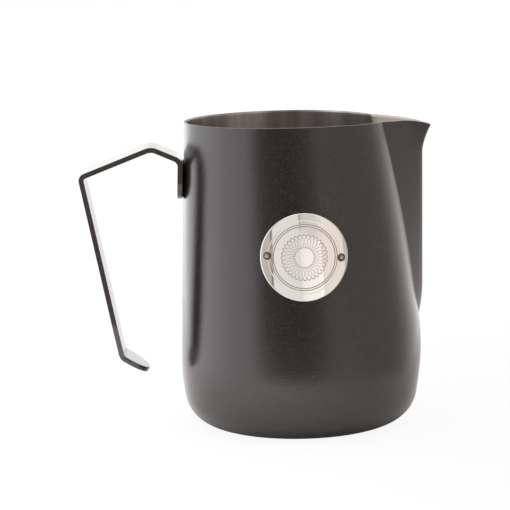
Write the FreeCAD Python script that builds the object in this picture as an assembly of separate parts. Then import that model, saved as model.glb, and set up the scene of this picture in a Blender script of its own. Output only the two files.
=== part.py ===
import FreeCAD, Part
import math
import os
from FreeCAD import Vector

# Milk frothing pitcher, millimetres and degrees.
# The origin is on the vessel's axis, at the base. +X points to the spout, the handle is at -X,
# the badge faces -Y and +Z is up.

# Vessel: a flat base, a corner arc, a wide belly arc and a wall that narrows towards the rim.
rim_height = 110.0
rim_radius = 39.85
wall_taper = 2.25
wall_thickness = 0.8
belly_height = 22.6
belly_arc = 69.5
corner_arc = 12.3

# Spout: two flat flanks that meet in a rounded nose.
spout_foot = 36.0
flank_angle_foot = 31.5
flank_angle_rim = 44.5
nose_stand = 5.8
nose_lean = 0.6
nose_edge = 0.9
toe_height = 50.0
toe_arc = 52.0
pinch_depth = 6.6
pinch_curve = 1.45

# Swelling of the wall under the spout.
swell_depth = 1.0
swell_low = 12.0
swell_high = 52.0
swell_angle = 25.0

# Beak: the nose flares out below the rim, and the rim droops towards its tip.
beak_height = 13.0
beak_reach = 3.1
beak_width = 3.0
beak_curve = 1.6
rim_sag = 1.75
tip_sag = 1.65
tip_sag_length = 11.3

# Handle: flat strap, measured from the rim and from the rim's edge on the handle side.
strap_width = 19.0
strap_thickness = 1.8
tab_gap = 0.3
tab_end_drop = 27.5
apex_reach = 11.95
apex_drop = 8.75
shoulder_reach = 37.4
shoulder_drop = 18.25
heel_reach = 24.7
heel_height = 26.1
toe_reach = 15.25
toe_end_height = 20.25
tab_entry_drop = 13.35
tab_bend = 3.0
apex_bend = 5.0
shoulder_bend = 2.8
heel_bend = 3.0
strap_end_round = 7.5
weld_width = 8.0
weld_margin = 1.5

# Badge and its two studs.
badge_diameter = 30.2
badge_thickness = 0.6
badge_height = 66.0
badge_turn = 3.2
rivet_spacing = 25.0
rivet_head_diameter = 2.9
rivet_head_height = 0.8
rivet_shank_diameter = 1.5
rivet_clearance = 0.05

# Lofting: how many sections each zone has, and what stands above the rim to be cut away.
trim_allowance = 1.5
corner_sections = 6
belly_sections = 5
foot_sections = 4
spout_sections = 5
beak_sections = 5
sag_points = 12
front_points = 21
back_points = 21
nose_crowding = 0.3
crease_half_chord = 2.5


def profile_arcs(grow):
    """Centres of the belly and corner arcs, with the direction in which they meet."""
    taper = math.radians(wall_taper)
    wall_at_belly = rim_radius + math.tan(taper) * (rim_height - belly_height)
    belly_x = wall_at_belly - belly_arc / math.cos(taper)
    drop = belly_height - corner_arc
    corner_x = belly_x + math.sqrt((belly_arc - corner_arc) ** 2 - drop ** 2)
    meet = math.asin(drop / (belly_arc - corner_arc))
    return belly_x, corner_x, meet, belly_arc + grow, corner_arc + grow


def round_radius(z, grow):
    """Radius of the vessel without its spout, on a surface that stands grow outside of the wall."""
    belly_x, corner_x, meet, belly_r, corner_r = profile_arcs(grow)
    taper = math.radians(wall_taper)
    if z < corner_arc - corner_r * math.sin(meet):
        rise = min(corner_arc - z, corner_r)
        return corner_x + math.sqrt(corner_r ** 2 - rise ** 2)
    if z < belly_height + belly_r * math.sin(taper):
        return belly_x + math.sqrt(belly_r ** 2 - (z - belly_height) ** 2)
    return rim_radius + math.tan(taper) * (rim_height - z) + grow / math.cos(taper)


def nose_line(z):
    """Distance of the nose from the axis, without the beak."""
    beak_start = rim_height - beak_height
    reach = rim_radius + nose_stand - math.tan(math.radians(nose_lean)) * (beak_start - z)
    return reach - max(toe_height - z, 0.0) ** 2 / (2 * toe_arc)


def wall_distance(phi, z, grow):
    """The round wall, drawn in towards the spout and swollen below it."""
    share = max(z - spout_foot, 0.0) / (rim_height - spout_foot)
    pinch = pinch_depth * share ** pinch_curve * ((1 + math.cos(phi)) / 2) ** 2
    band = min(max((z - swell_low) / (swell_high - swell_low), 0.0), 1.0)
    swell = swell_depth * math.sin(math.pi * band) ** 2
    swell *= math.exp(2 * (math.cos(phi) - 1) / math.radians(swell_angle) ** 2)
    return round_radius(z, grow) - pinch + swell


def flank_distance(phi, z, grow):
    """The flanks: a hyperbola in plan whose asymptotes are the flat sheets."""
    share = max(z - spout_foot, 0.0) / (rim_height - spout_foot)
    angle = math.radians(flank_angle_foot + (flank_angle_rim - flank_angle_foot) * share)
    slope = math.tan(angle)
    edge = nose_edge + grow * (1 / math.cos(angle) - 1)
    apex = nose_line(z) + grow + edge
    cosine = math.cos(phi)
    spread = cosine ** 2 - (slope * math.sin(phi)) ** 2
    root = math.sqrt(max((apex * cosine) ** 2 - spread * (apex ** 2 - edge ** 2), 0.0))
    distance = (apex ** 2 - edge ** 2) / (apex * cosine + root)
    beak_start = rim_height - beak_height
    beak_rise = beak_height - rim_sag - tip_sag
    lift = beak_reach * (max(z - beak_start, 0.0) / beak_rise) ** beak_curve
    return distance + lift * math.exp(-(distance * math.sin(phi) / beak_width) ** 2)


def crease_angle(z, grow):
    """Angle at which a flank leaves the round wall; a small fixed one where there is no spout."""
    least = crease_half_chord / round_radius(z, grow)
    high = least
    if flank_distance(least, z, grow) <= wall_distance(least, z, grow):
        return least
    while flank_distance(high, z, grow) > wall_distance(high, z, grow):
        high += math.radians(1)
    low = high - math.radians(1)
    for _ in range(40):
        middle = (low + high) / 2
        if flank_distance(middle, z, grow) > wall_distance(middle, z, grow):
            low = middle
        else:
            high = middle
    return (low + high) / 2


def section_point(phi, z, grow, on_spout):
    distance = wall_distance(phi, z, grow)
    if on_spout:
        distance = max(distance, flank_distance(phi, z, grow))
    return Vector(distance * math.cos(phi), distance * math.sin(phi), z)


def section_wire(z, grow):
    """Closed section at one height: the spout's front and the round back, joined at the creases.

    Every section has its points at the same parameters, so the loft runs even from one to the next.
    """
    crease = crease_angle(z, grow)
    front, places = [], []
    for i in range(front_points):
        place = 2 * i / (front_points - 1) - 1
        places.append(nose_crowding * place + (1 - nose_crowding) * place ** 3)
        front.append(section_point(crease * places[i], z, grow, True))
    back, turns = [], []
    for i in range(back_points):
        turns.append(i / (back_points - 1))
        back.append(section_point(crease + (2 * math.pi - 2 * crease) * turns[i], z, grow, False))
    edges = []
    for points, parameters in ((front, places), (back, turns)):
        spline = Part.BSplineCurve()
        spline.interpolate(Points=points, Parameters=parameters)
        edges.append(spline.toShape())
    return Part.Wire(edges)


def spread(start, stop, count):
    return [start + (stop - start) * i / count for i in range(count)]


def vessel_form(grow):
    """Solid bounded by the surface that stands grow outside of the vessel's wall."""
    meet, corner_r = profile_arcs(grow)[2], corner_arc + grow
    heights = []
    for turn in spread(0.0, math.pi / 2 - meet, corner_sections):
        heights.append(corner_arc - corner_r * math.cos(turn))
    beak_start = rim_height - beak_height
    top = rim_height + trim_allowance - grow
    heights += spread(corner_arc - corner_r * math.sin(meet), spout_foot, belly_sections)
    heights += spread(spout_foot, toe_height, foot_sections)
    heights += spread(toe_height, beak_start, spout_sections)
    heights += spread(beak_start, top, beak_sections)
    heights.append(top)
    return Part.makeLoft([section_wire(z, grow) for z in heights], True)


def rim_height_at(x):
    """Height of the rim's edge at a distance x in front of the axis."""
    tip = rim_radius + nose_stand + beak_reach
    sag = rim_sag * (max(x, 0.0) / tip) ** 2
    return rim_height - sag - tip_sag * (max(x - tip + tip_sag_length, 0.0) / tip_sag_length) ** 2


def rim_cutter():
    """Everything above the rim."""
    reach = rim_radius + nose_stand + 3 * beak_reach
    spline = Part.BSplineCurve()
    stations = spread(0.0, 1.1 * reach, sag_points)
    spline.interpolate([Vector(x, -reach, rim_height_at(x)) for x in stations])
    end = spline.EndPoint
    top = rim_height + 3 * trim_allowance
    corners = [end, Vector(end.x, -reach, top), Vector(-reach, -reach, top)]
    corners += [Vector(-reach, -reach, rim_height), spline.StartPoint]
    outline = Part.Wire([spline.toShape()] + Part.makePolygon(corners).Edges)
    return Part.Face(outline).extrude(Vector(0, 2 * reach, 0))


outer_form = vessel_form(0.0)


def pitcher_body():
    return outer_form.cut(vessel_form(-wall_thickness)).cut(rim_cutter())


# Handle

def offset_corners(points, distance):
    """The corners of an open line moved sideways by a distance, to its left."""
    corners = []
    for i in range(len(points)):
        before = (points[i] - points[i - 1]).normalize() if i > 0 else None
        after = (points[i + 1] - points[i]).normalize() if i + 1 < len(points) else None
        along = before if after is None else after
        if before is None or after is None:
            corners.append(points[i] + Vector(-along.z, 0, along.x) * distance)
            continue
        bisector = Vector(-before.z - after.z, 0, before.x + after.x).normalize()
        stretch = distance / bisector.dot(Vector(-after.z, 0, after.x))
        corners.append(points[i] + bisector * stretch)
    return corners


def bent_path(corners, radii):
    """Straight runs joined by tangent arcs."""
    edges = []
    start = corners[0]
    for i, radius in enumerate(radii):
        corner = corners[i + 1]
        back = (corners[i] - corner).normalize()
        ahead = (corners[i + 2] - corner).normalize()
        half = back.getAngle(ahead) / 2
        cut = radius / math.tan(half)
        middle = corner + (back + ahead).normalize() * (radius / math.sin(half) - radius)
        first, last = corner + back * cut, corner + ahead * cut
        edges.append(Part.LineSegment(start, first).toShape())
        edges.append(Part.Arc(first, middle, last).toShape())
        start = last
    edges.append(Part.LineSegment(start, corners[-1]).toShape())
    return edges


def round_end(strap, place):
    """The strap's end at a place, with both its corners rounded."""
    corners = []
    for edge in strap.Edges:
        across = abs(edge.BoundBox.YLength) < 1e-6
        if across and edge.Length < 1.01 * strap_thickness:
            if (edge.CenterOfMass - place).cross(Vector(0, 1, 0)).Length < strap_thickness:
                corners.append(edge)
    return strap.makeFillet(strap_end_round, corners)


def tab_line_x(z):
    """The strap's mid-plane where it lies along the wall."""
    reach = tab_gap + strap_thickness / 2
    return -round_radius(z, reach)


def handle_strap():
    tab_end_z = rim_height - tab_end_drop
    tab_entry_z = rim_height - tab_entry_drop
    points = [
        Vector(tab_line_x(tab_end_z), 0, tab_end_z),
        Vector(tab_line_x(tab_entry_z), 0, tab_entry_z),
        Vector(-rim_radius - apex_reach, 0, rim_height - apex_drop),
        Vector(-rim_radius - shoulder_reach, 0, rim_height - shoulder_drop),
        Vector(-rim_radius - heel_reach, 0, heel_height),
        Vector(-rim_radius - toe_reach, 0, toe_end_height),
    ]
    bends = [tab_bend, apex_bend, shoulder_bend, heel_bend]
    sides = []
    for side in (-1, 1):
        radii = []
        for i, bend in enumerate(bends):
            before, after = points[i + 1] - points[i], points[i + 2] - points[i + 1]
            turn = math.copysign(1, before.x * after.z - before.z * after.x)
            radii.append(bend - side * turn * strap_thickness / 2)
        sides.append(bent_path(offset_corners(points, side * strap_thickness / 2), radii))
    first, second = sides
    ends = [
        Part.LineSegment(first[-1].lastVertex().Point, second[-1].lastVertex().Point).toShape(),
        Part.LineSegment(second[0].firstVertex().Point, first[0].firstVertex().Point).toShape(),
    ]
    outline = Part.Wire(Part.__sortEdges__(first + second + ends))
    outline.translate(Vector(0, -strap_width / 2, 0))
    strap = Part.Face(outline).extrude(Vector(0, strap_width, 0))
    strap = round_end(strap, points[0])
    strap = round_end(strap, points[-1])
    weld_low = tab_end_z + weld_margin
    weld_height = tab_entry_z - weld_margin - weld_low
    middle = (weld_low + tab_entry_z - weld_margin) / 2
    back = Vector(tab_line_x(middle), -weld_width / 2, weld_low)
    weld = Part.makeBox(2 * strap_thickness, weld_width, weld_height, back).cut(outer_form)
    return strap.fuse(weld).removeSplitter()


# Badge

def wall_point(side):
    """A point at arm's length from the badge's centre: side is -1 at the left, 1 at the right."""
    turn = math.radians(badge_turn)
    x = side * rivet_spacing / 2 * math.cos(turn)
    z = badge_height - side * rivet_spacing / 2 * math.sin(turn)
    phi = -math.acos(x / wall_distance(math.pi / 2, z, 0.0))
    distance = wall_distance(phi, z, 0.0)
    return Vector(distance * math.cos(phi), distance * math.sin(phi), z)


def wall_normal(place):
    """Outward normal of the wall at a place on it."""
    phi = math.atan2(place.y, place.x)
    step = 0.01
    ahead = section_point(phi + step, place.z, 0.0, False)
    above = section_point(phi, place.z + step, 0.0, False)
    return (ahead - place).cross(above - place).normalize()


def along_normal(shape, place):
    """A shape drawn on the Z axis, moved so that it stands on the wall at a place."""
    turn = FreeCAD.Rotation(Vector(0, 0, 1), wall_normal(place))
    shape.Placement = FreeCAD.Placement(place, turn)
    return shape


badge_form = vessel_form(badge_thickness)
rivet_places = [wall_point(-1), wall_point(1)]


def badge_plate():
    reach = Vector(0, -2 * rim_radius, badge_height)
    blank = Part.makeCylinder(badge_diameter / 2, 2 * rim_radius, reach, Vector(0, 1, 0))
    plate = badge_form.common(blank).cut(outer_form)
    hole = rivet_shank_diameter / 2 + rivet_clearance
    for place in rivet_places:
        drill = Part.makeCylinder(hole, 2 * rivet_head_height, Vector(0, 0, -rivet_head_height / 2))
        plate = plate.cut(along_normal(drill, place))
    return plate


def badge_rivet(place):
    """A stud with a domed head: its shank stands on the wall, its head lies on the plate."""
    head_radius = rivet_head_diameter / 2
    ball = (head_radius ** 2 + rivet_head_height ** 2) / (2 * rivet_head_height)
    centre = Vector(0, 0, badge_thickness + rivet_head_height - ball)
    rise = math.degrees(math.asin(1 - rivet_head_height / ball))
    head = Part.makeSphere(ball, centre, Vector(0, 0, 1), rise, 90, 360)
    shank = Part.makeCylinder(rivet_shank_diameter / 2, badge_thickness)
    return along_normal(head.fuse(shank), place)


pieces = {
    "pitcher_body": pitcher_body(),
    "handle_strap": handle_strap(),
    "badge_plate": badge_plate(),
    "badge_rivet_left": badge_rivet(rivet_places[0]),
    "badge_rivet_right": badge_rivet(rivet_places[1]),
}

os.makedirs("parts", exist_ok=True)
for name, shape in pieces.items():
    print(name, len(shape.Solids), "solid, valid", shape.isValid(), "volume", round(shape.Volume, 1))
    print("   ", shape.BoundBox)
    shape.exportStep("parts/" + name + ".step")
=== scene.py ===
import math
import bpy
import numpy as np
from mathutils import Matrix


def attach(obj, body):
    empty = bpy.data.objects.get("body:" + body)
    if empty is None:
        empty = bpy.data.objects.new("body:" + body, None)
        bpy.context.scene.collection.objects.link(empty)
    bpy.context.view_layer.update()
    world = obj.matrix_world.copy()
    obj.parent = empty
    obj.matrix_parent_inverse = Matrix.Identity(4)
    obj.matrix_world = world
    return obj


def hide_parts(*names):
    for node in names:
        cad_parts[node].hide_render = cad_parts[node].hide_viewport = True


# Milk frothing pitcher. The vessel's axis is Z, the spout is at +X, the handle at -X, the badge faces -Y.
# Pieces are worked out in millimetres and become metres in makePiece. Angles round the vessel count from +X.

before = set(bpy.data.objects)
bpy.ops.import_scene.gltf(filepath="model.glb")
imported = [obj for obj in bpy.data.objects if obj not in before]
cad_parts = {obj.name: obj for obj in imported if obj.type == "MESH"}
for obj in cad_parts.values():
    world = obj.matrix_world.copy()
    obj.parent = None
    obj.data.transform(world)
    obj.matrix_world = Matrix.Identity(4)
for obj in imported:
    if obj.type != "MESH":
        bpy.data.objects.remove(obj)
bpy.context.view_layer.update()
mm = 0.001
print("frame loaded:", ", ".join(sorted(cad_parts)))


# Small tools

def colour(hexText):
    # sRGB hex to the linear values that the shaders work in.
    parts = [int(hexText[i:i + 2], 16) / 255 for i in (1, 3, 5)]
    return tuple(c / 12.92 if c <= 0.04045 else ((c + 0.055) / 1.055) ** 2.4 for c in parts) + (1.0,)


def addNode(tree, kind, settings=None, **inputs):
    # Adds a node. Settings are its own properties. An input is a value, an output socket, or a node, whose
    # first output is taken; its name has _ for a space, and a number after _ is the socket's place.
    node = tree.nodes.new(kind)
    for key, value in (settings or {}).items():
        setattr(node, key, value)
    for key, value in inputs.items():
        socket = node.inputs[int(key[1:])] if key[1:].isdigit() else node.inputs[key.replace("_", " ")]
        if isinstance(value, bpy.types.Node):
            value = value.outputs[0]
        if isinstance(value, bpy.types.NodeSocket):
            tree.links.new(value, socket)
        else:
            socket.default_value = value
    return node


def perMetre(size):
    # How many marks of a given size in millimetres fit in a metre, which is what a pattern's scale states.
    return 1 / (size * mm)


def newMaterial(name):
    # An empty material, its node tree, and the place on the object, in metres.
    material = bpy.data.materials.new(name)
    material.use_nodes = True
    tree = material.node_tree
    tree.nodes.clear()
    return material, tree, addNode(tree, "ShaderNodeTexCoord").outputs["Object"]


def closedSkin(rings, poles, turned=False):
    # Points and faces of a closed skin: rings of points in rows, joined round each row and row to row, and
    # a pole at either end that a fan of triangles closes. Turned faces look the other way.
    rows, wide = rings.shape[:2]
    here = np.arange(wide)
    ahead = (here + 1) % wide
    starts = np.arange(rows - 1)[:, None] * wide
    quads = np.stack([starts + here, starts + ahead, starts + wide + ahead, starts + wide + here], axis=-1)
    quads = quads.reshape(-1, 4)
    last = (rows - 1) * wide
    poleNumbers = np.full((2, wide), rows * wide) + np.array([[0], [1]])
    fans = np.concatenate([
        np.stack([ahead, here, poleNumbers[0]], axis=-1),
        np.stack([last + here, last + ahead, poleNumbers[1]], axis=-1),
    ])
    if turned:
        quads, fans = quads[:, ::-1], fans[:, [1, 0, 2]]
    return np.concatenate([rings.reshape(-1, 3), poles]), quads, fans


def makePiece(name, skin, materials, slots=None):
    # A smooth mesh from a closed skin in millimetres. Slots holds each face's material, quads first.
    points, quads, fans = skin
    mesh = bpy.data.meshes.new(name)
    mesh.from_pydata((points * mm).tolist(), [], quads.tolist() + fans.tolist())
    for material in materials:
        mesh.materials.append(material)
    if slots is not None:
        mesh.polygons.foreach_set("material_index", slots.astype(np.int32))
    mesh.polygons.foreach_set("use_smooth", np.ones(len(mesh.polygons), dtype=bool))
    mesh.validate()
    mesh.update()
    piece = bpy.data.objects.new(name, mesh)
    bpy.context.scene.collection.objects.link(piece)
    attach(piece, "root")
    return piece


# Camera and studio, in metres

cameraView = {
    "place": (-0.03702, -0.69902, 0.16956),
    "right": (0.99910, -0.03471, -0.02454),
    "up": (0.02957, 0.15288, 0.98780),
    "back": (-0.03053, -0.98764, 0.15377),
    "lens": 138.05, "sensor": 36.0, "shift": (-0.00098, 0.00098), "farClip": 50.0,
}

studio = {
    # Painted light on the table top's left, where the bright wall is, painted shade on its right; cooler far
    # behind.
    "floorPaintedLight": "#fffcfa", "floorPaintedShade": "#cdc8c4", "floorFar": "#f1f1f6",
    "floorFrom": -0.05, "floorTo": 0.07, "farFrom": 0.1, "farTo": 0.25,
    # It ends just in front of the pitcher, so that the coat mirrors the room beyond its edge.
    "floorCorners": [(-0.14, -0.155), (0.12, -0.155), (0.12, 0.2), (1.35, 6.0), (-1.1, 6.0), (-0.14, 0.25)],
    # Share of plain white in what the camera sees of it, and in what a glossy surface sees.
    "floorGlow": 0.92, "floorSheen": 0.03,
    # The room's brightness, and its ceiling: how bright it is on the left and on the right, and the
    # heights in degrees at which it starts and is full.
    "strength": 2.4, "skyLeft": 1.35, "skyRight": 0.6, "skyFrom": 45.0, "skyFull": 65.0,
    # Walls: degrees from the viewer's side towards the spout, and how bright that side of the room is.
    "walls": [
        (-180, "#cdcdcd"), (-174, "#d6d6d6"), (-160, "#f6f6f6"), (-136, "#d3d3d5"), (-100, "#e4e2e6"),
        (-82, "#dad8dd"), (-67, "#cdcbd0"), (-51, "#cccacd"), (-37, "#6d6865"), (-25, "#605a57"),
        (-8, "#57514f"), (1, "#544e4c"), (9, "#6c6663"), (19, "#706a67"), (26, "#958d8a"), (95, "#878180"),
        (106, "#89837f"), (117, "#9b9694"), (125, "#aeaaa9"), (137, "#c4c1c0"), (156, "#d6d5d5"),
        (168, "#e8e8e8"), (172, "#e8e8e8"), (176, "#cdcdcd"), (180, "#cdcdcd"),
    ],
    # White cards for the badge: turns towards the spout between which one stands, its foot, head and glow.
    "cardDistance": 0.62,
    "cards": [
        (-37.5, -26.8, -0.40, 0.50, 1.15), (-24.8, 1.8, -0.40, 0.50, 2.6), (1.8, 22.0, -0.40, 0.065, 3.0),
        (2.8, 22.0, 0.066, 0.50, 1.55), (22.2, 44.0, -0.40, 0.50, 1.33), (45.0, 54.0, -0.40, 0.50, 0.3),
    ],
}


def makeCamera():
    # The camera's matrix has its directions to the right, up and back, and its place, as columns.
    data = bpy.data.cameras.new("studioCamera")
    data.lens, data.sensor_width, data.clip_end = (cameraView[key] for key in ("lens", "sensor", "farClip"))
    data.shift_x, data.shift_y = cameraView["shift"]
    camera = bpy.data.objects.new("studioCamera", data)
    columns = [cameraView[key] + (0.0,) for key in ("right", "up", "back")] + [cameraView["place"] + (1.0,)]
    camera.matrix_world = Matrix(columns).transposed()
    bpy.context.scene.collection.objects.link(camera)
    bpy.context.scene.camera = camera


def makeWorld():
    # A round studio: bright walls to the left and behind, a dim room on the viewer's side, a pale ceiling.
    # The wall's tone follows the turn of the direction looked in; the ceiling fades in with its height.
    world = bpy.data.worlds.new("studioRoom")
    world.use_nodes = True
    bpy.context.scene.world = world
    tree = world.node_tree
    tree.nodes.clear()
    direction = addNode(tree, "ShaderNodeTexCoord").outputs["Generated"]
    axes = addNode(tree, "ShaderNodeSeparateXYZ", Vector=direction).outputs
    towards = addNode(tree, "ShaderNodeMath", {"operation": "MULTIPLY"}, _0=axes["Y"], _1=-1.0)
    turn = addNode(tree, "ShaderNodeMath", {"operation": "ARCTAN2"}, _0=axes["X"], _1=towards)
    share = addNode(tree, "ShaderNodeMapRange", Value=turn, From_Min=-math.pi, From_Max=math.pi)
    walls = addNode(tree, "ShaderNodeValToRGB", Fac=share)
    stops = walls.color_ramp.elements
    for i, (angle, shade) in enumerate(studio["walls"]):
        at = (angle + 180) / 360
        stop = stops[i] if i < len(stops) else stops.new(at)
        stop.position, stop.color = at, colour(shade)
    low, high = (math.sin(math.radians(studio[key])) for key in ("skyFrom", "skyFull"))
    above = addNode(tree, "ShaderNodeMapRange", Value=axes["Z"], From_Min=low, From_Max=high)
    sky = addNode(tree, "ShaderNodeMapRange", Value=axes["X"], From_Min=-1.0, From_Max=1.0,
                  To_Min=studio["skyLeft"], To_Max=studio["skyRight"])
    room = addNode(tree, "ShaderNodeMix", {"data_type": "RGBA"}, Factor=above, _6=walls, _7=sky)
    lit = addNode(tree, "ShaderNodeBackground", Color=room.outputs[2], Strength=studio["strength"])
    white = addNode(tree, "ShaderNodeBackground", Color=colour("#ffffff"), Strength=1.0)
    seen = addNode(tree, "ShaderNodeLightPath").outputs["Is Camera Ray"]
    both = addNode(tree, "ShaderNodeMixShader", _0=seen, _1=lit, _2=white)
    addNode(tree, "ShaderNodeOutputWorld", Surface=both)


def makeFloor():
    # A matt white table top. Near the pitcher its tone runs from painted light on the left to painted shade
    # on the right, and to the far tone behind it.
    mesh = bpy.data.meshes.new("tableTop")
    corners = [(x, y, 0) for x, y in studio["floorCorners"]]
    mesh.from_pydata(corners, [], [(0, 1, 2, 5), (5, 2, 3, 4)])
    material, tree, place = newMaterial("matt white table top")
    axes = addNode(tree, "ShaderNodeSeparateXYZ", Vector=place).outputs
    across = addNode(tree, "ShaderNodeMapRange", Value=axes["X"], From_Min=studio["floorFrom"],
                     From_Max=studio["floorTo"])
    # Painted light on the left of the pitcher and painted shade on its right.
    near = addNode(tree, "ShaderNodeMix", {"data_type": "RGBA"}, Factor=across,
                   _6=colour(studio["floorPaintedLight"]), _7=colour(studio["floorPaintedShade"]))
    behind = addNode(tree, "ShaderNodeMapRange", Value=axes["Y"], From_Min=studio["farFrom"],
                     From_Max=studio["farTo"])
    tone = addNode(tree, "ShaderNodeMix", {"data_type": "RGBA"}, Factor=behind,
                   _6=near.outputs[2], _7=colour(studio["floorFar"]))
    matt = addNode(tree, "ShaderNodeBsdfDiffuse", Color=tone.outputs[2])
    white = addNode(tree, "ShaderNodeEmission", Strength=1.0)
    path = addNode(tree, "ShaderNodeLightPath").outputs
    seen = addNode(tree, "ShaderNodeMath", {"operation": "MULTIPLY"}, _0=path["Is Camera Ray"],
                   _1=studio["floorGlow"])
    share = addNode(tree, "ShaderNodeMath", {"operation": "MULTIPLY_ADD"}, _0=path["Is Glossy Ray"],
                    _1=studio["floorSheen"], _2=seen)
    shader = addNode(tree, "ShaderNodeMixShader", _0=share, _1=matt, _2=white)
    addNode(tree, "ShaderNodeOutputMaterial", Surface=shader)
    mesh.materials.append(material)
    floor = bpy.data.objects.new("tableTop", mesh)
    bpy.context.scene.collection.objects.link(floor)


def makeCards(mirrors):
    # White cards on the viewer's side, upright and facing the pitcher. They light the badge's mirror finish
    # alone. A card's width is what its two turns span at its distance, and its power its glow times its area.
    lit = bpy.data.collections.new("litByCard")
    for piece in mirrors:
        lit.objects.link(piece)
    distance = studio["cardDistance"]
    for i, (start, end, foot, head, glow) in enumerate(studio["cards"]):
        turn = math.radians(start + end) / 2
        wide = 2 * distance * math.tan(math.radians(end - start) / 2)
        high = head - foot
        lamp = bpy.data.lights.new("whiteCard%d" % i, "AREA")
        lamp.shape = "RECTANGLE"
        lamp.size, lamp.size_y, lamp.energy = wide, high, glow * wide * high
        card = bpy.data.objects.new("whiteCard%d" % i, lamp)
        card.location = (distance * math.sin(turn), -distance * math.cos(turn), (foot + head) / 2)
        card.rotation_euler = (math.pi / 2, 0, turn)
        bpy.context.scene.collection.objects.link(card)
        card.visible_camera = False
        card.light_linking.receiver_collection = lit


makeCamera()
makeWorld()
makeFloor()
print("camera, room and table top made")


# Vessel

vessel = {
    # Plain shape: a flat base, a corner arc, a wide belly arc and a wall that narrows towards the rim.
    "rimHeight": 110.0, "rimRadius": 39.85, "taper": 2.25, "wall": 0.8,
    "bellyHeight": 22.6, "bellyArc": 69.5, "cornerArc": 12.3,
    # Spout: two flat flanks that meet in a rounded nose, and the pinch of the wall beside them.
    "spoutFoot": 36.0, "flankFoot": 31.5, "flankRim": 44.5,
    "noseStand": 5.8, "noseLean": 0.6, "noseEdge": 0.9, "toeHeight": 50.0, "toeArc": 52.0,
    "pinchDepth": 6.6, "pinchCurve": 1.45,
    # Swelling of the wall under the spout.
    "swellDepth": 1.0, "swellLow": 12.0, "swellHigh": 52.0, "swellAngle": 25.0,
    # Beak: the nose flares out below the rim, and the rim droops towards its tip.
    "beakHeight": 13.0, "beakReach": 3.1, "beakWidth": 3.0, "beakCurve": 1.6,
    "rimSag": 1.75, "tipSag": 1.65, "tipSagLength": 11.3,
    # Crease between flank and wall: how softly they blend, and the bounds of its place.
    "creaseBlend": 0.14, "blendWithin": 60.0, "leastCrease": 2.5, "widestCrease": 50.0,
    # How often a search is repeated: halvings for the crease, and rounds where two values need each other.
    "halvings": 30, "repeats": 12,
    "lipHeight": 0.12,
    # The spout's floor inside has a painted highlight, which fades in over these distances from the axis.
    "spoutHighlightFrom": 28.5, "spoutHighlightTo": 31.5,
    # Mesh: columns over the spout and round the back, how evenly they lie, and rows up to given heights.
    "frontColumns": 97, "frontEvenness": 0.3, "backColumns": 191, "backEvenness": 0.1,
    "baseShares": (0.25, 0.5, 0.75, 0.93), "cornerRows": 16, "rowBands": ((34.0, 15), (50.0, 20), (88.0, 26)),
    "rimRows": 27, "lipRows": 11,
}
taper = math.radians(vessel["taper"])
# Both arcs run on smoothly: the belly's into the wall, and the corner's into the belly's and the base.
bellyCentre = vessel["rimRadius"] + math.tan(taper) * (vessel["rimHeight"] - vessel["bellyHeight"])
bellyCentre -= vessel["bellyArc"] / math.cos(taper)
arcGap = vessel["bellyArc"] - vessel["cornerArc"]
arcDrop = vessel["bellyHeight"] - vessel["cornerArc"]
cornerCentre = bellyCentre + math.sqrt(arcGap ** 2 - arcDrop ** 2)
arcMeet = math.asin(arcDrop / arcGap)
beakStart = vessel["rimHeight"] - vessel["beakHeight"]
tipReach = vessel["rimRadius"] + vessel["noseStand"] + vessel["beakReach"]


def roundRadius(z, grow):
    # Radius of the plain vessel: corner arc, belly arc and tapered wall. Grow moves the surface outwards.
    bellyArc, cornerArc = vessel["bellyArc"] + grow, vessel["cornerArc"] + grow
    corner = cornerCentre + np.sqrt(np.maximum(cornerArc ** 2 - (vessel["cornerArc"] - z) ** 2, 0))
    belly = bellyCentre + np.sqrt(np.maximum(bellyArc ** 2 - (z - vessel["bellyHeight"]) ** 2, 0))
    wall = vessel["rimRadius"] + math.tan(taper) * (vessel["rimHeight"] - z) + grow / math.cos(taper)
    upper = np.where(z < vessel["bellyHeight"] + bellyArc * math.sin(taper), belly, wall)
    return np.where(z < vessel["cornerArc"] - cornerArc * math.sin(arcMeet), corner, upper)


def spoutShare(z):
    # 0 at the spout's foot and below, 1 at the rim.
    return np.clip((z - vessel["spoutFoot"]) / (vessel["rimHeight"] - vessel["spoutFoot"]), 0, None)


def wallDistance(phi, z, grow):
    # The plain radius, less a pinch that grows to the rim on the spout's side, plus a swelling at its foot,
    # which is a squared sine up the wall times a bell round it.
    pinch = vessel["pinchDepth"] * spoutShare(z) ** vessel["pinchCurve"] * ((1 + np.cos(phi)) / 2) ** 2
    band = np.clip((z - vessel["swellLow"]) / (vessel["swellHigh"] - vessel["swellLow"]), 0, 1)
    swell = vessel["swellDepth"] * np.sin(math.pi * band) ** 2
    swell = swell * np.exp(2 * (np.cos(phi) - 1) / math.radians(vessel["swellAngle"]) ** 2)
    return roundRadius(z, grow) - pinch + swell


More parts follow.
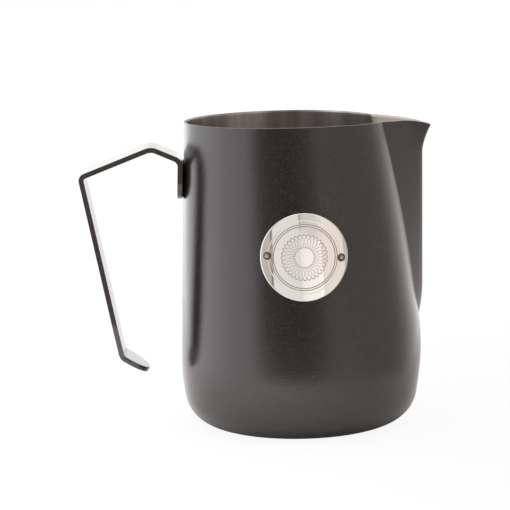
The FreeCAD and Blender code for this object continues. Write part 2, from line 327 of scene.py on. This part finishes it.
def flankDistance(phi, z, grow):
    # Two flat flanks whose plan is a hyperbola, so that the nose between them is round. The nose leans a
    # little, curls under at its toe, and flares into the beak with a power of height and a bell across.
    angle = np.radians(vessel["flankFoot"] + (vessel["flankRim"] - vessel["flankFoot"]) * spoutShare(z))
    edge = vessel["noseEdge"] + grow * (1 / np.cos(angle) - 1)
    nose = vessel["rimRadius"] + vessel["noseStand"]
    nose = nose - math.tan(math.radians(vessel["noseLean"])) * (beakStart - z)
    nose = nose - np.clip(vessel["toeHeight"] - z, 0, None) ** 2 / (2 * vessel["toeArc"])
    apex = nose + grow + edge
    part = np.cos(phi) ** 2 - (np.tan(angle) * np.sin(phi)) ** 2
    root = np.sqrt(np.maximum((apex * np.cos(phi)) ** 2 - part * (apex ** 2 - edge ** 2), 0))
    distance = (apex ** 2 - edge ** 2) / (apex * np.cos(phi) + root)
    rise = np.clip(z - beakStart, 0, None) / (vessel["beakHeight"] - vessel["rimSag"] - vessel["tipSag"])
    lift = vessel["beakReach"] * rise ** vessel["beakCurve"]
    return distance + lift * np.exp(-(distance * np.sin(phi) / vessel["beakWidth"]) ** 2)


def creaseAngle(z, grow):
    # Where flank and wall meet, found by halving; a small fixed width where there is no spout.
    least = vessel["leastCrease"] / roundRadius(z, grow)
    low, high = least, np.full_like(z, math.radians(vessel["widestCrease"]))
    for _ in range(vessel["halvings"]):
        middle = (low + high) / 2
        outside = flankDistance(middle, z, grow) > wallDistance(middle, z, grow)
        low, high = np.where(outside, middle, low), np.where(outside, high, middle)
    return np.maximum(low, least)


def vesselPoint(column, z, grow):
    # X and Y of a point: column runs from -1 to 1 over the spout between the creases, and on to 3 round the
    # back. The outer one of wall and flank counts, plus a parabola that rounds the crease between them.
    crease = creaseAngle(z, grow)
    onSpout = column <= 1
    phi = np.where(onSpout, crease * column, crease + (math.pi - crease) * (column - 1))
    wall, flank = wallDistance(phi, z, grow), flankDistance(phi, z, grow)
    blend = vessel["creaseBlend"]
    near = np.clip(1 - np.abs(wall - flank) / blend, 0, 1)
    near = near * (np.cos(phi) > math.cos(math.radians(vessel["blendWithin"]))) * (z > vessel["spoutFoot"])
    sheer = np.where(onSpout & (z > vessel["spoutFoot"]), np.maximum(wall, flank), wall)
    distance = sheer + near ** 2 * blend / 4
    return distance * np.cos(phi), distance * np.sin(phi)


def eased(count, evenness):
    # Shares from 0 to 1 that lie closer together at both ends: a straight line mixed with a smooth step.
    even = np.linspace(0, 1, count)
    return evenness * even + (1 - evenness) * even ** 2 * (3 - 2 * even)


def vesselColumns():
    # Column values: crowded at the nose and at both creases.
    half = eased(vessel["frontColumns"] // 2 + 1, vessel["frontEvenness"])
    back = 1 + 2 * eased(vessel["backColumns"] + 2, vessel["backEvenness"])[1:-1]
    return np.concatenate([-half[::-1], half[1:], back])


def rimOver(columns, grow):
    # Height of the rim over each column. It sags with the square of the reach, and once more at the tip.
    # The reach depends on the height in turn, so both are found by repeating.
    z = np.full(columns.shape, vessel["rimHeight"])
    length = vessel["tipSagLength"]
    for _ in range(vessel["repeats"]):
        x = vesselPoint(columns, z, grow)[0]
        sag = vessel["rimSag"] * (np.maximum(x, 0) / tipReach) ** 2
        tipShare = np.maximum(x - tipReach + length, 0) / length
        z = vessel["rimHeight"] - sag - vessel["tipSag"] * tipShare ** 2
    return z


def wallRows(grow):
    # Heights of a side's rows: round the corner arc, and then in bands up to the rim's zone.
    turns = np.linspace(0, math.pi / 2 - arcMeet, vessel["cornerRows"])
    rows = vessel["cornerArc"] - (vessel["cornerArc"] + grow) * np.cos(turns)
    for top, count in vessel["rowBands"]:
        rows = np.concatenate([rows, np.linspace(rows[-1], top, count)[1:]])
    return rows


def makeVessel(coat, steel, bareEdge):
    # One closed skin: the base and the coated outside, over the bare lip, and down the steel inside.
    columns = vesselColumns()
    coated, drawn, bare = range(3)
    inner, lip, top = -vessel["wall"], vessel["lipHeight"], vessel["rowBands"][-1][0]
    outerRim, innerRim = rimOver(columns, 0.0), rimOver(columns, inner)
    rings = []
    slots = []

    def addRing(z, grow, slot, scale=1.0):
        # A ring at height z; slot is the material of the faces between it and the next ring.
        z = np.broadcast_to(np.asarray(z, dtype=float), columns.shape)
        x, y = vesselPoint(columns, z, grow)
        rings.append(np.stack([x * scale, y * scale, z], axis=-1))
        slots.append(slot)

    for scale in vessel["baseShares"]:
        addRing(0.0, 0.0, coated, scale)
    for z in wallRows(0.0):
        addRing(z, 0.0, coated)
    for share in np.linspace(0, 1, vessel["rimRows"])[1:]:
        addRing(top + (outerRim - lip - top) * share, 0.0, coated)
    slots[-1] = bare
    for turn in np.linspace(0, math.pi, vessel["lipRows"])[1:-1]:
        share = (1 - math.cos(turn)) / 2
        rim = outerRim * (1 - share) + innerRim * share
        addRing(rim - lip + lip * math.sin(turn), inner * share, bare)
    for share in np.linspace(1, 0, vessel["rimRows"])[:-1]:
        addRing(top + (innerRim - lip - top) * share, inner, drawn)
    for z in wallRows(inner)[::-1]:
        addRing(z, inner, drawn)
    for scale in vessel["baseShares"][::-1]:
        addRing(vessel["wall"], inner, drawn, scale)
    skin = closedSkin(np.stack(rings), [[0, 0, 0], [0, 0, vessel["wall"]]])
    faceSlots = np.repeat(slots[:-1] + [coated, drawn], len(columns))
    return makePiece("pitcher_shell", skin, [coat, steel, bareEdge], faceSlots)


def makeCoat(name, darker, lighter, gritDepth):
    # Fluoropolymer non-stick coat, sprayed and baked on bead-blasted steel: dark and satin, so that the
    # studio shows in it softly. Grit of 0.4 mm and specks of 0.65 mm are coarser than real, to show at all.
    material, tree, place = newMaterial(name)
    grit = addNode(tree, "ShaderNodeTexNoise", Vector=place, Scale=perMetre(0.4), Detail=2.0)
    specks = addNode(tree, "ShaderNodeTexNoise", Vector=place, Scale=perMetre(0.65), Detail=1.0)
    spread = addNode(tree, "ShaderNodeMapRange", Value=specks, From_Min=0.3, From_Max=0.7)
    tone = addNode(tree, "ShaderNodeMix", {"data_type": "RGBA"}, Factor=spread,
                   _6=colour(darker), _7=colour(lighter))
    rough = addNode(tree, "ShaderNodeMapRange", Value=grit, To_Min=0.13, To_Max=0.20)
    bump = addNode(tree, "ShaderNodeBump", Strength=gritDepth, Distance=0.25 * mm, Height=grit)
    shader = addNode(tree, "ShaderNodeBsdfPrincipled", Base_Color=tone.outputs[2], Roughness=rough,
                     IOR=1.7, Normal=bump)
    addNode(tree, "ShaderNodeOutputMaterial", Surface=shader)
    return material


def makeDrawnSteel(name):
    # 18/8 stainless steel, deep drawn and then polished on the lathe: drawing streaks 6.6 mm wide run up
    # the wall and tint it, and polishing rings go round and blur it. The rings are 0.4 mm high, coarser
    # than real, to show at all. The spout's floor is painted lighter, a painted highlight, and is duller.
    material, tree, place = newMaterial(name)
    ringSize = addNode(tree, "ShaderNodeMapping", Vector=place,
                       Scale=(perMetre(17.0), perMetre(17.0), perMetre(0.4)))
    rings = addNode(tree, "ShaderNodeTexNoise", Vector=ringSize, Scale=1.0, Detail=3.0)
    streakSize = addNode(tree, "ShaderNodeMapping", Vector=place,
                         Scale=(perMetre(6.6), perMetre(6.6), perMetre(110.0)))
    streaks = addNode(tree, "ShaderNodeTexNoise", Vector=streakSize, Scale=1.0, Detail=3.0)
    spread = addNode(tree, "ShaderNodeMapRange", Value=streaks, From_Min=0.32, From_Max=0.68)
    drawn = addNode(tree, "ShaderNodeMix", {"data_type": "RGBA"}, Factor=spread,
                    _6=colour("#aca39d"), _7=colour("#d8d1cd"))
    axes = addNode(tree, "ShaderNodeSeparateXYZ", Vector=place).outputs
    # The spout's floor is painted lighter here: a painted highlight.
    inSpout = addNode(tree, "ShaderNodeMapRange", Value=axes["X"], From_Min=vessel["spoutHighlightFrom"] * mm,
                      From_Max=vessel["spoutHighlightTo"] * mm)
    tone = addNode(tree, "ShaderNodeMix", {"data_type": "RGBA"}, Factor=inSpout,
                   _6=drawn.outputs[2], _7=colour("#d9d3c8"))
    ringed = addNode(tree, "ShaderNodeMapRange", Value=rings, To_Min=0.26, To_Max=0.40)
    rough = addNode(tree, "ShaderNodeMix", {"data_type": "FLOAT"}, Factor=inSpout, _2=ringed, _3=0.55)
    bump = addNode(tree, "ShaderNodeBump", Strength=0.15, Distance=0.1 * mm, Height=rings)
    shader = addNode(tree, "ShaderNodeBsdfPrincipled", Base_Color=tone.outputs[2], Metallic=1.0,
                     Roughness=rough, Normal=bump)
    addNode(tree, "ShaderNodeOutputMaterial", Surface=shader)
    return material


def makeGroundEdge(name):
    # Stainless steel where the rim was ground and tumbled bare of coat: a dull grey line. Its marks are
    # 1.1 mm, coarser than real, to show at all.
    material, tree, place = newMaterial(name)
    marks = addNode(tree, "ShaderNodeTexNoise", Vector=place, Scale=perMetre(1.1), Detail=2.0)
    rough = addNode(tree, "ShaderNodeMapRange", Value=marks, To_Min=0.38, To_Max=0.52)
    shader = addNode(tree, "ShaderNodeBsdfPrincipled", Base_Color=colour("#585450"), Metallic=1.0,
                     Roughness=rough)
    addNode(tree, "ShaderNodeOutputMaterial", Surface=shader)
    return material


shell = makeVessel(makeCoat("baked non-stick coat", "#100d0c", "#2f2926", 0.2),
                   makeDrawnSteel("lathe polished stainless steel"), makeGroundEdge("ground stainless rim"))
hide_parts("pitcher_body")
print("vessel made:", len(shell.data.polygons), "faces")


# Handle

strap = {
    "width": 19.0, "thickness": 1.8, "gap": 0.3, "edgeRound": 0.16, "endRound": 7.5,
    # Corners of its centre line: drops from the rim, reaches from the rim's edge and heights from the base.
    "tabEndDrop": 27.5, "tabEntryDrop": 13.35, "apexReach": 11.95, "apexDrop": 8.75,
    "shoulderReach": 37.22, "shoulderDrop": 18.25, "heelReach": 24.7, "heelHeight": 26.1,
    "toeReach": 15.25, "toeHeight": 20.25, "bends": (3.0, 5.0, 1.8, 3.0),
    # The foot narrows on each side, from a distance before the toe and over a length, to a rounder toe.
    "footTaper": 1.3, "taperStart": 24.0, "taperLength": 13.0, "toeRound": 8.2,
    # Weld bead: its size and how square it is in plan and at its ends.
    "weldWidth": 8.0, "weldMargin": 0.4, "weldSink": 0.01, "planPower": 0.6, "endPower": 6, "leastBulge": 0.3,
    # Mesh: steps round a bend, along the strap, into an end, round an edge and over a face.
    "bendSteps": 15, "evenSteps": 160, "endSteps": 18, "edgeSteps": 5, "faceSteps": 9, "leastStep": 0.02,
    "weldRows": 13, "weldColumns": 40,
}


def bentLine(corners, radii):
    # Centre line of a bent strip, as points: straight runs, and at each inner corner an arc that touches
    # both. An arc's points are weighted sums of its end radii, with sines of the part angles as weights.
    corners = [np.array(corner, dtype=float) for corner in corners]
    parts = [corners[0][None]]
    share = np.linspace(0, 1, strap["bendSteps"])[:, None]
    for before, corner, after, radius in zip(corners, corners[1:], corners[2:], radii):
        back, ahead = before - corner, after - corner
        back, ahead = back / np.linalg.norm(back), ahead / np.linalg.norm(ahead)
        half = math.acos(np.clip(back @ ahead, -1, 1)) / 2
        centre = corner + (back + ahead) / np.linalg.norm(back + ahead) * radius / math.sin(half)
        start = corner + back * radius / math.tan(half) - centre
        end = corner + ahead * radius / math.tan(half) - centre
        sweep = math.pi - 2 * half
        arc = (np.sin((1 - share) * sweep) * start + np.sin(share * sweep) * end) / math.sin(sweep)
        parts.append(centre + arc)
    parts.append(corners[-1][None])
    return np.concatenate(parts)


def strapLine():
    # Centre line of the handle in the XZ plane: tab, apex, shoulder, heel and toe.
    tabZ = vessel["rimHeight"] - np.array([strap["tabEndDrop"], strap["tabEntryDrop"]])
    tabX = -roundRadius(tabZ, strap["gap"] + strap["thickness"] / 2)
    edge, rim = -vessel["rimRadius"], vessel["rimHeight"]
    corners = [
        (tabX[0], tabZ[0]),
        (tabX[1], tabZ[1]),
        (edge - strap["apexReach"], rim - strap["apexDrop"]),
        (edge - strap["shoulderReach"], rim - strap["shoulderDrop"]),
        (edge - strap["heelReach"], strap["heelHeight"]),
        (edge - strap["toeReach"], strap["toeHeight"]),
    ]
    return bentLine(corners, strap["bends"])


def strapHalfWidth(places, total):
    # Half the strap's width at distances along it: a narrowing foot, and round ends by the circle's formula.
    endRound = np.where(places > total / 2, strap["toeRound"], strap["endRound"])
    inset = np.clip(endRound - np.minimum(places, total - places), 0, None)
    narrowed = np.clip((places - total + strap["taperStart"]) / strap["taperLength"], 0, 1)
    halfWidth = strap["width"] / 2 - strap["footTaper"] * narrowed ** 2 * (3 - 2 * narrowed)
    return halfWidth - endRound + np.sqrt(endRound ** 2 - inset ** 2)


def makeStrap(coat):
    # A rectangle with rounded edges, swept along the centre line.
    line = strapLine()
    lengths = np.concatenate([[0], np.cumsum(np.linalg.norm(np.diff(line, axis=0), axis=1))])
    total = lengths[-1]
    turns = 1 - np.cos(np.linspace(0, math.pi / 2, strap["endSteps"]))
    ends = [strap["endRound"] * turns, total - strap["toeRound"] * turns]
    even = np.linspace(0, total, strap["evenSteps"])
    places = np.unique(np.round(np.concatenate([lengths, even] + ends), 4))
    places = places[np.concatenate([[True], np.diff(places) > strap["leastStep"]])]
    centre = np.stack([np.interp(places, lengths, line[:, k]) for k in (0, 1)], axis=-1)
    ahead = np.gradient(centre, axis=0)
    ahead /= np.linalg.norm(ahead, axis=1)[:, None]
    side = np.stack([-ahead[:, 1], ahead[:, 0]], axis=-1)

    # The section's upper half, from edge to edge; the lower half is the same turned round. Across and up
    # are shares of the straight parts, outer and lift the rounding's, which keeps its size.
    quarter = np.linspace(0, math.pi / 2, strap["edgeSteps"])
    corner, face = np.ones(len(quarter)), np.linspace(1, -1, strap["faceSteps"])[1:-1]
    flat = np.ones(len(face))
    across = np.concatenate([corner, face, -corner])
    outer = np.concatenate([np.cos(quarter), 0 * flat, -np.sin(quarter)])
    up = np.concatenate([corner, flat, corner])
    lift = np.concatenate([np.sin(quarter), flat, np.cos(quarter)])
    across, outer, up, lift = (np.concatenate([half, -half]) for half in (across, outer, up, lift))

    rounding = strap["edgeRound"]
    halfWidth = strapHalfWidth(places, total)[:, None]
    y = across * (halfWidth - rounding) + outer * rounding
    height = np.broadcast_to(up * (strap["thickness"] / 2 - rounding) + lift * rounding, y.shape)
    x = centre[:, 0:1] + side[:, 0:1] * height
    z = centre[:, 1:2] + side[:, 1:2] * height
    poles = [[centre[k, 0], 0, centre[k, 1]] for k in (0, -1)]
    return makePiece("handle_band", closedSkin(np.stack([x, y, z], axis=-1), poles), [coat])


def makeWeld(coat):
    # The bead under the tab: a rounded block that fills the gap between tab and wall. In plan it is a
    # squarish oval, whose one side lies inside the tab and whose other meets the wall.
    low = vessel["rimHeight"] - strap["tabEndDrop"] + strap["weldMargin"]
    high = vessel["rimHeight"] - strap["tabEntryDrop"] - strap["weldMargin"]
    z = np.linspace(low, high, strap["weldRows"])
    turns = np.linspace(0, 2 * math.pi, strap["weldColumns"] + 1)[:-1]
    fullness = 1 - np.linspace(-1, 1, strap["weldRows"]) ** strap["endPower"]
    bulge = np.sqrt(np.clip(fullness, strap["leastBulge"], None))[:, None]
    waves = np.stack([np.sin(turns), np.cos(turns)])
    sine, cosine = np.sign(waves) * np.abs(waves) ** strap["planPower"]
    y = strap["weldWidth"] / 2 * sine * bulge
    near = -roundRadius(z, strap["gap"] + strap["thickness"] / 4)[:, None]
    far = -np.sqrt(roundRadius(z, 0.0)[:, None] ** 2 - y ** 2) - strap["weldSink"]
    share = (1 + cosine) / 2
    x = near * (1 - share) + far * share
    rings = np.stack([x, y, np.broadcast_to(z[:, None], x.shape)], axis=-1)
    poles = [[x[k].mean(), 0, z[k]] for k in (0, -1)]
    return makePiece("tab_weld", closedSkin(rings, poles), [coat])


# The vessel's coat in a lighter tone: painted light on the faces of the strap and the weld.
strapCoatPaintedLight = makeCoat("baked non-stick coat with painted light on the strap", "#37322f", "#46403c", 0.04)
band = makeStrap(strapCoatPaintedLight)
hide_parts("handle_strap")
weld = makeWeld(strapCoatPaintedLight)
print("handle made:", len(band.data.polygons), "faces")


# Badge and studs

badge = {
    "radius": 15.08, "thickness": 0.6, "height": 66.0, "backGap": 0.02,
    # The face drops at its border, and carries one turned groove.
    "edgeDrop": 0.1, "edgeBand": 0.45, "edgeCurve": 2.5, "grooveRadius": 12.4, "grooveWidth": 0.36,
    "grooveDepth": 0.02,
    # Etched design: two rings round a rosette of waves that swing in and out.
    "lineWidth": 0.32, "lineBlur": 0.05, "rings": (10.6, 11.3), "rosetteRadius": 5.6, "rosetteSwing": 2.3,
    "petals": 8, "strands": 4,
    # Mesh: bands of rings over the face (from, to, how many), down the edge and over the back.
    "faceBands": ((0.4, 12.0, 24), (12.05, 12.8, 16), (12.9, 15.06, 20)), "edgeRings": 4,
    "backBand": (14.98, 0.4, 6), "columns": 144,
}

studs = {
    "spacing": 25.0, "turn": 3.2, "radius": 1.45, "height": 0.8, "shank": 0.75, "shankTip": 0.3,
    "seat": 0.01, "foot": 0.05,
    # A turned recess round the top, in shares of the cap: its middle, half its width and its walls' slope.
    "recessAt": 0.66, "recessHalf": 0.28, "recessSlope": 3.0, "recessDepth": 0.14,
    "capBands": ((0.08, 0.37, 6), (0.385, 0.935, 16), (0.95, 1.0, 3)), "columns": 48, "probe": 0.05,
}


def wallAt(x, z, grow):
    # Y of the vessel's surface on the badge's side, over a point of its elevation. The angle depends on
    # the distance from the axis and the other way round, so both are found by repeating.
    phi = np.full(np.shape(x), -math.pi / 2)
    for _ in range(vessel["repeats"]):
        phi = -np.arccos(np.clip(x / wallDistance(phi, z, grow), -1, 1))
    return wallDistance(phi, z, grow) * np.sin(phi)


def makeBadge(steel):
    # A disc pressed to the wall's curve: rings over its face, down its edge and over its back. Its border
    # drops by a power of the way to the edge, and the groove is a parabola across its width.
    radii = np.concatenate([np.linspace(*band) for band in badge["faceBands"]])
    across = np.abs(radii - badge["grooveRadius"]) / (badge["grooveWidth"] / 2)
    groove = badge["grooveDepth"] * np.clip(1 - across ** 2, 0, 1)
    border = np.clip((radii - badge["radius"] + badge["edgeBand"]) / badge["edgeBand"], 0, 1)
    grow = badge["thickness"] - groove - badge["edgeDrop"] * border ** badge["edgeCurve"]
    under = np.linspace(*badge["backBand"])
    edge = np.linspace(grow[-1], badge["backGap"], badge["edgeRings"] + 1)[1:]
    radii = np.concatenate([radii, np.full(len(edge), badge["radius"]), under])
    grow = np.concatenate([grow, edge, np.full(len(under), badge["backGap"])])
    turns = np.linspace(0, 2 * math.pi, badge["columns"] + 1)[:-1]
    x = radii[:, None] * np.cos(turns)
    z = badge["height"] + radii[:, None] * np.sin(turns)
    y = wallAt(x, z, np.broadcast_to(grow[:, None], x.shape))
    middle = np.array([badge["height"]])
    poles = [[0, wallAt(np.zeros(1), middle, grow)[0], badge["height"]]
             for grow in (badge["thickness"], badge["backGap"])]
    return makePiece("badge_disc", closedSkin(np.stack([x, y, z], axis=-1), poles, turned=True), [steel])


def wallFrame(x, z):
    # A point on the wall with the directions across, up and out of the wall there, from the differences
    # in depth over a small step to either side.
    def y(atX, atZ):
        return wallAt(np.array([atX]), np.array([atZ]), 0.0)[0]

    step = studs["probe"]
    across = np.array([2 * step, y(x + step, z) - y(x - step, z), 0])
    up = np.array([0, y(x, z + step) - y(x, z - step), 2 * step])
    across, up = across / np.linalg.norm(across), up / np.linalg.norm(up)
    out = np.cross(across, up)
    out /= np.linalg.norm(out)
    return np.array([x, y(x, z), z]), across, np.cross(out, across), out


def makeStud(name, sign, materials):
    # A round-headed stud on the plate: a spherical cap with a recess turned round its top, and a shank.
    # Sign -1 is the left one. The two stand on a line that is turned a little about the plate's middle.
    turn = math.radians(studs["turn"])
    reach = sign * studs["spacing"] / 2
    place, across, up, out = wallFrame(reach * math.cos(turn), badge["height"] - reach * math.sin(turn))
    ball = (studs["radius"] ** 2 + studs["height"] ** 2) / (2 * studs["height"])
    shares = np.concatenate([np.linspace(*band) for band in studs["capBands"]])
    tilt = shares * math.asin(studs["radius"] / ball)
    sunk = np.clip(1 - np.abs(shares - studs["recessAt"]) / studs["recessHalf"], 0, 1)
    sunk = np.minimum(sunk * studs["recessSlope"], 1)
    cap = badge["thickness"] + studs["height"] - ball + ball * np.cos(tilt) - studs["recessDepth"] * sunk
    seat = badge["thickness"] + studs["seat"]
    below = [(studs["radius"], seat), (studs["shank"], seat), (studs["shank"], studs["foot"]),
             (studs["shankTip"], studs["foot"])]
    radii = np.concatenate([ball * np.sin(tilt), [radius for radius, height in below]])
    heights = np.concatenate([cap, [height for radius, height in below]])
    turns = np.linspace(0, 2 * math.pi, studs["columns"] + 1)[:-1, None]
    rings = place + heights[:, None, None] * out
    rings = rings + radii[:, None, None] * (np.cos(turns) * across + np.sin(turns) * up)
    poles = [place + out * (badge["thickness"] + studs["height"]), place + out * studs["foot"]]
    # The recess's faces take the second material, which is painted shade.
    dark = np.zeros(len(radii) + 1)
    dark[:len(sunk)] = sunk > 0
    slots = np.repeat(dark, studs["columns"])
    return makePiece(name, closedSkin(rings, poles, turned=True), materials, slots)


def makePlateSteel(name):
    # Stainless badge stock, buffed to a mirror, so that the cards show in it with sharp edges, and matt
    # laser-etched lines. A point is on a line if its distance from the line is under half the line's width.
    # The gloss varies over 2 mm, which is coarser than a buffing mark, so that it shows.
    material, tree, place = newMaterial(name)
    middle = addNode(tree, "ShaderNodeMapping", {"vector_type": "TEXTURE"}, Vector=place,
                     Location=(0, 0, badge["height"] * mm), Scale=(mm, mm, mm))
    axes = addNode(tree, "ShaderNodeSeparateXYZ", Vector=middle).outputs
    square = addNode(tree, "ShaderNodeMath", {"operation": "MULTIPLY"}, _0=axes["X"], _1=axes["X"])
    square = addNode(tree, "ShaderNodeMath", {"operation": "MULTIPLY_ADD"}, _0=axes["Z"], _1=axes["Z"],
                     _2=square)
    radius = addNode(tree, "ShaderNodeMath", {"operation": "SQRT"}, _0=square)
    turn = addNode(tree, "ShaderNodeMath", {"operation": "ARCTAN2"}, _0=axes["Z"], _1=axes["X"])
    paths = list(badge["rings"])
    for k in range(badge["strands"]):
        phase = addNode(tree, "ShaderNodeMath", {"operation": "MULTIPLY_ADD"}, _0=turn,
                        _1=float(badge["petals"]), _2=2 * math.pi * k / badge["strands"])
        wave = addNode(tree, "ShaderNodeMath", {"operation": "COSINE"}, _0=phase)
        paths.append(addNode(tree, "ShaderNodeMath", {"operation": "MULTIPLY_ADD"}, _0=wave,
                             _1=badge["rosetteSwing"], _2=badge["rosetteRadius"]))
    half, blur = badge["lineWidth"] / 2, badge["lineBlur"]
    etched = 0.0
    for path in paths:
        offset = addNode(tree, "ShaderNodeMath", {"operation": "SUBTRACT"}, _0=radius, _1=path)
        distance = addNode(tree, "ShaderNodeMath", {"operation": "ABSOLUTE"}, _0=offset)
        drawn = addNode(tree, "ShaderNodeMapRange", Value=distance, From_Min=half + blur,
                        From_Max=half - blur)
        etched = addNode(tree, "ShaderNodeMath", {"operation": "MAXIMUM"}, _0=etched, _1=drawn)
    grain = addNode(tree, "ShaderNodeTexNoise", Vector=place, Scale=perMetre(2.0), Detail=2.0)
    polish = addNode(tree, "ShaderNodeMapRange", Value=grain, To_Min=0.05, To_Max=0.08)
    rough = addNode(tree, "ShaderNodeMix", {"data_type": "FLOAT"}, Factor=etched, _2=polish, _3=0.5)
    tone = addNode(tree, "ShaderNodeMix", {"data_type": "RGBA"}, Factor=etched,
                   _6=colour("#d9d6d1"), _7=colour("#9a9082"))
    bump = addNode(tree, "ShaderNodeBump", {"invert": True}, Strength=0.25, Distance=0.03 * mm, Height=etched)
    shader = addNode(tree, "ShaderNodeBsdfPrincipled", Base_Color=tone.outputs[2], Metallic=1.0,
                     Roughness=rough, Normal=bump)
    addNode(tree, "ShaderNodeOutputMaterial", Surface=shader)
    return material


def makeRecessPaintedShade(name):
    # Painted shade in the studs' recess, standing for the dark surroundings mirrored at the stud: dark, brown
    # and dull, in blots of 0.55 mm.
    material, tree, place = newMaterial(name)
    marks = addNode(tree, "ShaderNodeTexNoise", Vector=place, Scale=perMetre(0.55), Detail=2.0)
    tone = addNode(tree, "ShaderNodeMix", {"data_type": "RGBA"}, Factor=marks,
                   _6=colour("#1d1916"), _7=colour("#544b43"))
    shader = addNode(tree, "ShaderNodeBsdfPrincipled", Base_Color=tone.outputs[2], Roughness=0.55)
    addNode(tree, "ShaderNodeOutputMaterial", Surface=shader)
    return material


def makeStudNickel(name):
    # Nickel plate on a turned steel stud, tumbled bright: its gloss is slightly uneven, over 0.65 mm,
    # which is coarser than a tumbling mark, so that it shows.
    material, tree, place = newMaterial(name)
    marks = addNode(tree, "ShaderNodeTexNoise", Vector=place, Scale=perMetre(0.65), Detail=2.0)
    rough = addNode(tree, "ShaderNodeMapRange", Value=marks, To_Min=0.12, To_Max=0.24)
    shader = addNode(tree, "ShaderNodeBsdfPrincipled", Base_Color=colour("#a79e94"), Metallic=1.0,
                     Roughness=rough)
    addNode(tree, "ShaderNodeOutputMaterial", Surface=shader)
    return material


plate = makeBadge(makePlateSteel("buffed stainless badge"))
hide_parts("badge_plate")
studMaterials = [makeStudNickel("bright nickel stud"), makeRecessPaintedShade("stud recess with painted shade")]
mirrors = [plate]
for side, sign in (("left", -1), ("right", 1)):
    stud = makeStud("badge_stud_" + side, sign, studMaterials)
    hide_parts("badge_rivet_" + side)
    mirrors.append(stud)
makeCards(mirrors)
print("badge and studs made")


# View transform

bpy.context.scene.view_settings.view_transform = "Standard"
